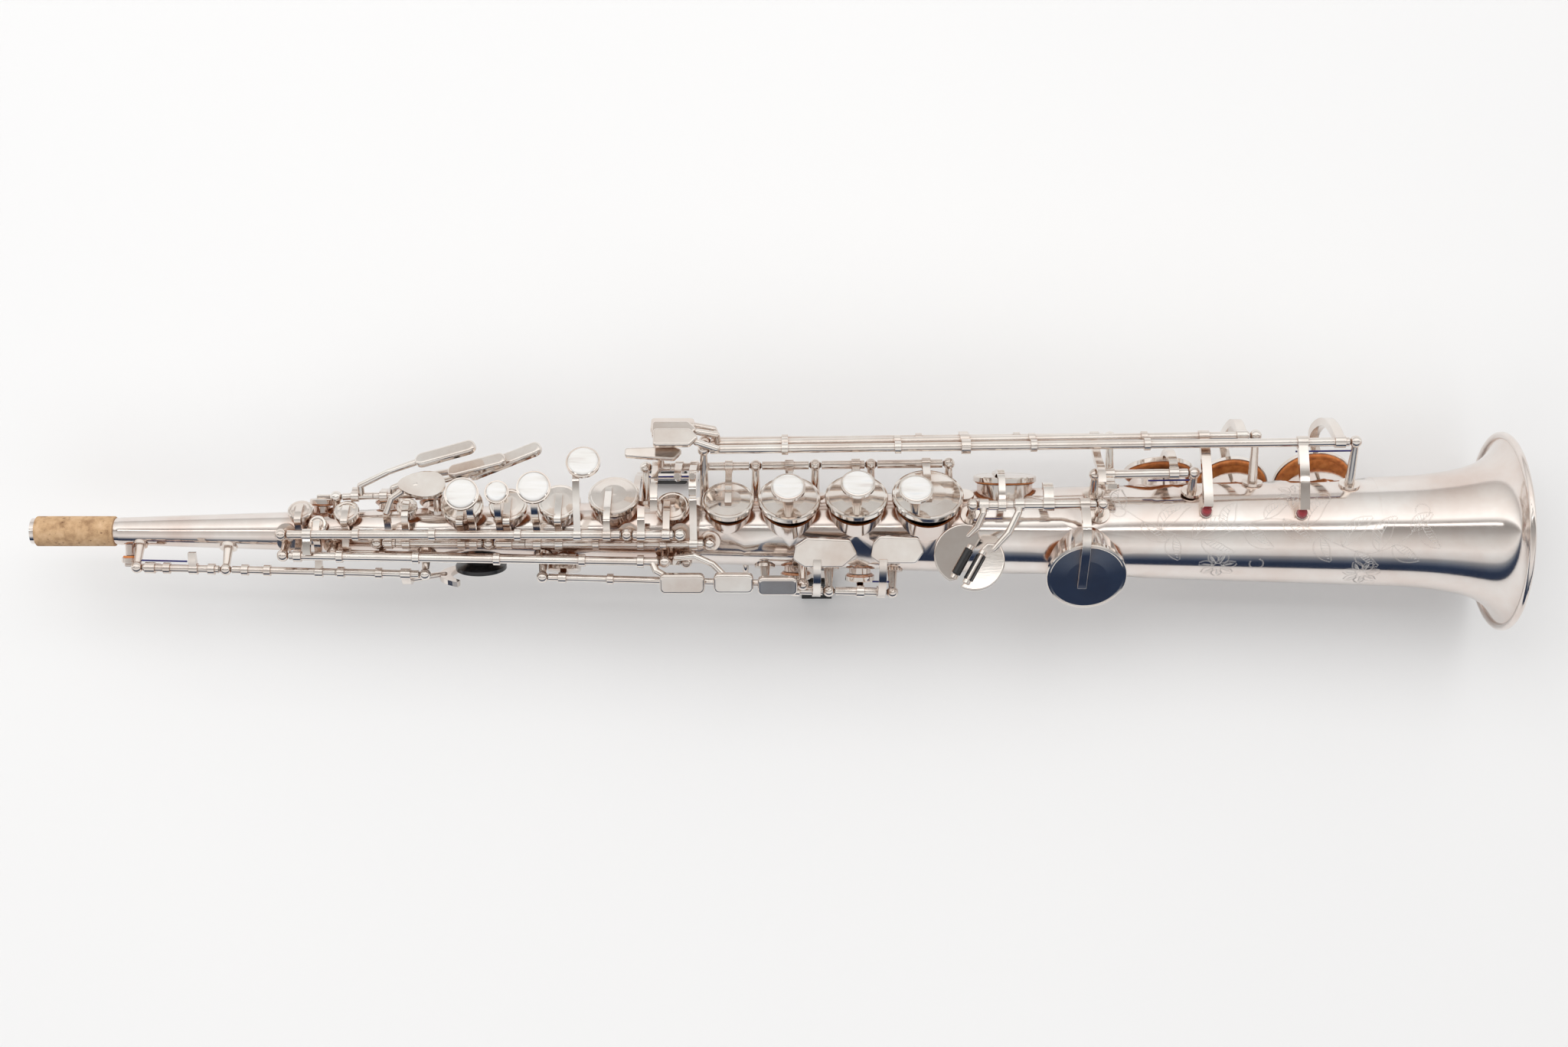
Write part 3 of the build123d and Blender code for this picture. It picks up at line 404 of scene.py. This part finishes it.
black_rubber = moulded_finish("black rubber", (0.018, 0.018, 0.019), 0.12, 0.55, 0.3)
black_resin = moulded_finish("polished black resin", (0.012, 0.012, 0.014), 0.05, 0.12, 0.03)
pale_resin = moulded_finish("pale resin", (0.80, 0.77, 0.70), 0.06, 0.18, 0.05)
for material, names in [(black_rubber, ["thumb_hook_pad", "guard_foot"]), (pale_resin, ["thumb_rest_pad"]),
                        (black_resin, ["thumb_rest", "eb_roller", "c_roller"])]:
    for name in names:
        finish_node(name, material)


# ---- Bell engraving
# Leaves, stems and flowers cut by hand with a flat graver rocked from side to side, which leaves fine bright
# zigzag lines with a small burr on the bell and the lower tube. Part of their brightness is a painted glint:
# the cuts are coloured near white and are only partly metal. The pattern is a plain floral one.

NECK_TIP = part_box("body_tube")[0][0]
PATTERN_MIDDLE = NECK_TIP + 0.5565
BELL_MEAN_R = 24.5 * MM
OUTSIDE_ALL = 0.07  # well outside the bell's rim
CUT_PITCH = 0.42 * MM
CUT_SWING = 0.36 * MM
BURR = 0.10 * MM
LEAF_STEPS = 10


def painted_glint_cut_finish():
    f = Finish("graver cuts with painted glint")
    facet_and_glint = f.noise(2200.0, 1.0)
    # Painted glint: near-white colour, varied by facet noise, on a partly non-metal surface, so the cuts stay
    # bright over dark reflections.
    return f.done(Base_Color=f.blend(facet_and_glint, (1.0, 0.99, 0.97), (0.86, 0.83, 0.80)), Metallic=0.75,
                  Roughness=0.38 + facet_and_glint * 0.25, Normal=f.bump(facet_and_glint, 0.4, 0.0001))


surface = []
for name in ("body_tube", "bell"):
    sheet = bmesh.new()
    sheet.from_mesh(nodes[name].data)
    surface.append(BVHTree.FromBMesh(sheet))
    sheet.free()


def on_bell(along, clock):
    """The point on the outside of the tube or bell at a clock angle from the top, in degrees."""
    turn = math.radians(clock)
    out = Vector((0.0, math.sin(turn), math.cos(turn)))
    hits = [tree.ray_cast(Vector((along, 0, 0)) + out * OUTSIDE_ALL, -out)[0] for tree in surface]
    hits = [hit for hit in hits if hit]
    return max(hits, key=lambda hit: hit.yz.length) if hits else None


cuts = bpy.data.curves.new("bell_engraving", "CURVE")
cuts.dimensions = "3D"
cuts.bevel_depth, cuts.bevel_resolution = BURR, 0


def cut_line(route, swing=CUT_SWING):
    """Rocks the graver along a smooth route of (along, across) points in mm from the pattern's middle."""
    line = []
    last = len(route) - 1
    for k in range(last):
        p0, p1, p2, p3 = (Vector(route[min(max(i, 0), last)]) for i in (k - 1, k, k + 1, k + 2))
        steps = max(1, round((p2 - p1).length * MM / CUT_PITCH))
        for j in range(steps):
            t = j / steps
            line.append(0.5 * (2 * p1 + (p2 - p0) * t + (2 * p0 - 5 * p1 + 4 * p2 - p3) * t ** 2
                               + (3 * p1 - p0 - 3 * p2 + p3) * t ** 3))
    rocked = []
    for k, here in enumerate(line[:-1]):
        ahead = (line[k + 1] - here).normalized()
        side = Vector((-ahead.y, ahead.x)) * (swing / MM) * (1 if k % 2 else -1)
        place = (here + side) * MM
        spot = on_bell(PATTERN_MIDDLE + place.x, math.degrees(place.y / BELL_MEAN_R))
        if spot:
            rocked.append(spot)
    if len(rocked) > 1:
        spline = cuts.splines.new("POLY")
        spline.points.add(len(rocked) - 1)
        spline.points.foreach_set("co", [v for spot in rocked for v in (*spot, 1.0)])


def bent(start, heading, length, curl, steps=LEAF_STEPS):
    """A route that starts at a point with a heading in degrees and turns evenly by curl degrees."""
    here, route = Vector(start), [tuple(start)]
    for k in range(steps):
        turn = math.radians(heading + curl * (k + 0.5) / steps)
        here = here + Vector((math.cos(turn), math.sin(turn))) * (length / steps)
        route.append(tuple(here))
    return route


def leaf(start, heading, length, width, curl):
    """A pointed leaf: two edges that meet at the tip, a vein, and short shading cuts on one side."""
    vein = bent(start, heading, length, curl)
    edges = {-1: [], 1: []}
    for k, (x, y) in enumerate(vein):
        turn = math.radians(heading + curl * k / LEAF_STEPS)
        bulge = width * math.sin(math.pi * (k / LEAF_STEPS) ** 0.8) / 2
        for side in edges:
            edges[side].append((x - math.sin(turn) * bulge * side, y + math.cos(turn) * bulge * side))
    cut_line(edges[1])
    cut_line(edges[-1])
    cut_line(vein[:8], CUT_SWING * 0.6)
    for k in range(2, LEAF_STEPS - 1):
        cut_line([vein[k], edges[1][min(k + 1, LEAF_STEPS)]], CUT_SWING * 0.35)


def flower(x, y, r, petals):
    for k in range(petals):
        heading = 360 * k / petals + 12
        turn = math.radians(heading)
        start = (x + r * 0.28 * math.cos(turn), y + r * 0.28 * math.sin(turn))
        leaf(start, heading, r * 0.8, r * 0.52, 14)
    eye = [math.tau * k / 12 for k in range(13)]
    cut_line([(x + r * 0.22 * math.cos(a), y + r * 0.22 * math.sin(a)) for a in eye], CUT_SWING * 0.6)


cut_line([(-68, 14), (-56, 4), (-42, -2), (-28, -4), (-14, 3), (0, 6), (14, 2), (28, -6), (42, -10), (56, -4),
          (66, 6)])
LEAVES = [
    (-66, 12, 118, 17, 7, -60), (-58, 5, -64, 16, 7, 48), (-50, 1, 76, 20, 8, -70),
    (-44, -2, -108, 15, 7, 60),
    (-36, -4, 58, 19, 8, -40), (-32, -4, -50, 17, 7, 56), (-20, 0, 112, 17, 7, -80), (-12, 4, -76, 18, 8, 64),
    (-4, 6, 64, 14, 6, -58), (4, 6, -58, 17, 7, 40), (14, 2, 82, 18, 8, -66), (20, -2, -96, 15, 7, 62),
    (30, -7, 70, 20, 8, -50), (36, -9, -60, 14, 6, 50), (46, -9, 98, 19, 8, -72), (52, -6, -52, 15, 7, 46),
    (60, 0, 60, 13, 6, -44), (64, 4, -78, 15, 6, 54)]
for x, y, heading, length, width, curl in LEAVES:
    leaf((x, y), heading, length, width, curl)
flower(-24, -19, 8.5, 7)
flower(10, 19, 8.0, 6)
flower(40, -22, 8.5, 7)
TENDRILS = [(-68, 14, 175, 300), (66, 6, 15, 290), (-6, -14, -20, -300), (24, 14, 30, 310),
            (-44, 16, 140, 280)]
for x, y, heading, curl in TENDRILS:
    cut_line(bent((x, y), heading, 16, curl, 16))
engraving = bpy.data.objects.new("bell_engraving", cuts)
bpy.context.scene.collection.objects.link(engraving)
cuts.materials.append(painted_glint_cut_finish())
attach(engraving, "body")


# ---- Felts
# Red felt bumpers that the feet of the two low bell keys come to rest on, each glued into a low silver seat.

def felt_finish():
    f = Finish("red felt")
    fluff = f.noise(1800.0, 5.0, 0.8)
    return f.done(Base_Color=f.blend(fluff, (0.22, 0.015, 0.025), (0.52, 0.06, 0.07)), Roughness=0.9,
                  Sheen_Weight=0.6, Normal=f.bump(fluff, 0.9, 0.0004))


red_felt = felt_finish()
FEET = {"low_bb_key": (0.5684, 19.0), "low_b_key": (0.5265, 22.5)}  # from the neck's tip, and clock angle
SEAT_PROFILE = [(0, -0.5 * MM), (2.9 * MM, -0.5 * MM), (2.9 * MM, 0.5 * MM), (2.6 * MM, 0.8 * MM),
                (2.2 * MM, 0.8 * MM), (2.2 * MM, 0.3 * MM), (0, 0.3 * MM)]
FELT_PROFILE = [(0, 0), (2.1 * MM, 0), (2.25 * MM, 1.2 * MM), (2.1 * MM, 3.0 * MM), (1.6 * MM, 3.5 * MM),
                (0, 3.6 * MM)]
for name, (along, clock) in FEET.items():
    seat = on_bell(NECK_TIP + along, clock)
    out = Vector((0, seat.y, seat.z)).normalized()
    turned(name + "_felt_seat", SEAT_PROFILE, seat, out, key_silver, "body", 32)
    turned(name + "_felt", FELT_PROFILE, seat, out, red_felt, "body", 32)


# ---- Table, light and camera
# A plain white table under a wide soft studio light, with one darker side that the polished tubes pick up.
# The camera hangs straight over the middle of the instrument.

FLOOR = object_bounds()[0][2]
TABLE_HALF = 40.0
mesh = bpy.data.meshes.new("table")
table_corners = [(x * TABLE_HALF, y * TABLE_HALF, FLOOR) for x, y in [(-1, -1), (1, -1), (1, 1), (-1, 1)]]
mesh.from_pydata(table_corners, [], [(0, 1, 2, 3)])
table = bpy.data.objects.new("table", mesh)
bpy.context.scene.collection.objects.link(table)
paper = Finish("white table")
paper_colour = paper.blend(paper.noise(3.0, 2.0), (0.86, 0.86, 0.865), (0.89, 0.89, 0.89))
mesh.materials.append(paper.done(Base_Color=paper_colour, Roughness=0.6))

world = bpy.data.worlds.new("studio")
bpy.context.scene.world = world
world.use_nodes = True
studio = Nodes(world.node_tree)
towards = studio.add("ShaderNodeTexCoord", {}, {}, "Generated")
across = studio.add("ShaderNodeSeparateXYZ", {}, {0: towards}, "Y")
up = studio.add("ShaderNodeSeparateXYZ", {}, {0: towards}, "Z")
side_to_side = across.math("ARCTAN2", up) * (1 / math.pi) + 0.5
walls = [(0.00, (0.026, 0.040, 0.080)), (0.08, (0.028, 0.044, 0.088)), (0.12, (0.10, 0.125, 0.18)),
         (0.17, (0.30, 0.32, 0.35)), (0.20, (0.72, 0.72, 0.725)), (0.30, (1.02, 1.01, 1.0)),
         (0.40, (0.78, 0.77, 0.755)), (0.48, (0.50, 0.49, 0.48)), (0.55, (0.34, 0.325, 0.31)),
         (0.60, (0.46, 0.445, 0.43)), (0.64, (1.55, 1.54, 1.52)), (0.74, (1.25, 1.24, 1.22)),
         (1.0, (0.66, 0.65, 0.64))]
glow = studio.add("ShaderNodeBackground", {}, {"Color": studio.ramp(side_to_side, walls), "Strength": 0.90})
studio.add("ShaderNodeOutputWorld", {}, {"Surface": glow})


def softbox(name, place, aim, width, length, watts, gleams=False):
    """A soft light. Only one that gleams shows in the polished metal."""
    lamp = bpy.data.lights.new(name, "AREA")
    lamp.shape, lamp.size, lamp.size_y, lamp.energy = "RECTANGLE", width, length, watts
    light = bpy.data.objects.new(name, lamp)
    bpy.context.scene.collection.objects.link(light)
    light.location = place
    light.visible_glossy = gleams
    light.rotation_euler = (Vector(aim) - Vector(place)).to_track_quat("-Z", "Y").to_euler()


softbox("top_softbox", (0.3, 0.9, 1.5), (0.3, 0.0, 0.0), 1.8, 1.2, 10.0)
softbox("low_softbox", (0.3, -1.1, 1.3), (0.3, 0.0, 0.0), 1.8, 1.0, 3.0)
softbox("strip_light", (0.3, 0.34, 1.5), (0.3, 0.0, 0.0), 2.0, 0.10, 1.1, True)
softbox("end_softbox", (-0.9, 0.3, 1.0), (0.2, 0.0, 0.0), 0.6, 0.9, 2.0)

bpy.context.scene.view_settings.view_transform = "Standard"

CAMERA_HEIGHT = 0.985
CAMERA_ALONG = NECK_TIP + 0.3396
CAMERA_ACROSS = 0.00346
lens = bpy.data.cameras.new("camera")
lens.lens, lens.sensor_width = 50.0, 36.0
camera = bpy.data.objects.new("camera", lens)
bpy.context.scene.collection.objects.link(camera)
camera.location = (CAMERA_ALONG, CAMERA_ACROSS, CAMERA_HEIGHT)
bpy.context.scene.camera = camera
